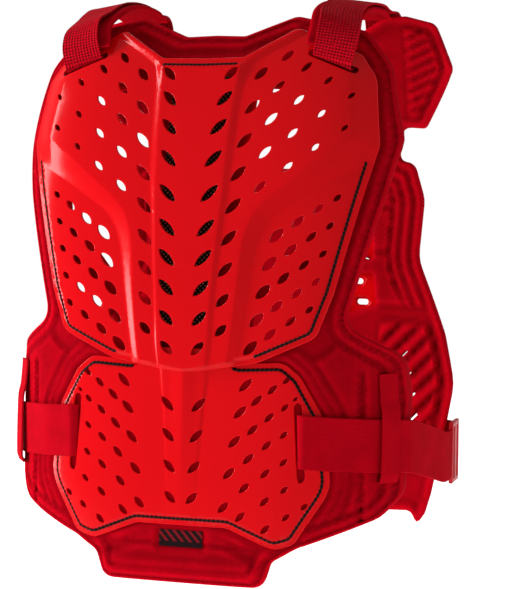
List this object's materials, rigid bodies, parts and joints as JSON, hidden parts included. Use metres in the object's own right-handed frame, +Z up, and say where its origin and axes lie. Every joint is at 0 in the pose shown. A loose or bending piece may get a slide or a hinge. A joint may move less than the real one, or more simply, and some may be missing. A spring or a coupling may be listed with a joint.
{
  "type": "roost deflector",
  "caption": "Worn chest and back protector vest with perforated hard plates over padded liners, padded shoulder straps and elastic waist straps with ladder buckles.",
  "frame": {"origin": "shoulder seat: the point midway between the two shoulder straps, level with the highest undersides of the shoulder pads, where the vest rests on the wearer", "axes": "+Z up, the front faces -Y, +X is the wearer's left"},
  "size_m": [0.418, 0.3011, 0.5336],
  "materials": {
    "shell": "gloss moulded red",
    "padding": "matte red cloth over foam",
    "webbing": "woven red webbing",
    "mesh": "dark open mesh cloth",
    "label": "plain black woven tag",
    "buckle": "moulded red plastic"
  },
  "bodies": {
    "root": {"chest_plate": "shell", "abdomen_plate": "shell", "front_liner": "padding", "front_mesh": "mesh", "front_label": "label", "back_liner": "padding", "back_plate_upper": "shell", "back_plate_lower": "shell", "shoulder_pad_left": "padding", "shoulder_pad_right": "padding", "shoulder_webbing_left": "webbing", "shoulder_webbing_right": "webbing", "side_strap_left": "webbing", "side_strap_right": "webbing", "strap_keeper_left": "webbing", "strap_keeper_right": "webbing", "side_buckle_left": "buckle", "side_buckle_right": "buckle", "back_anchor_left": "webbing", "back_anchor_right": "webbing"}
  },
  "joints": []
}
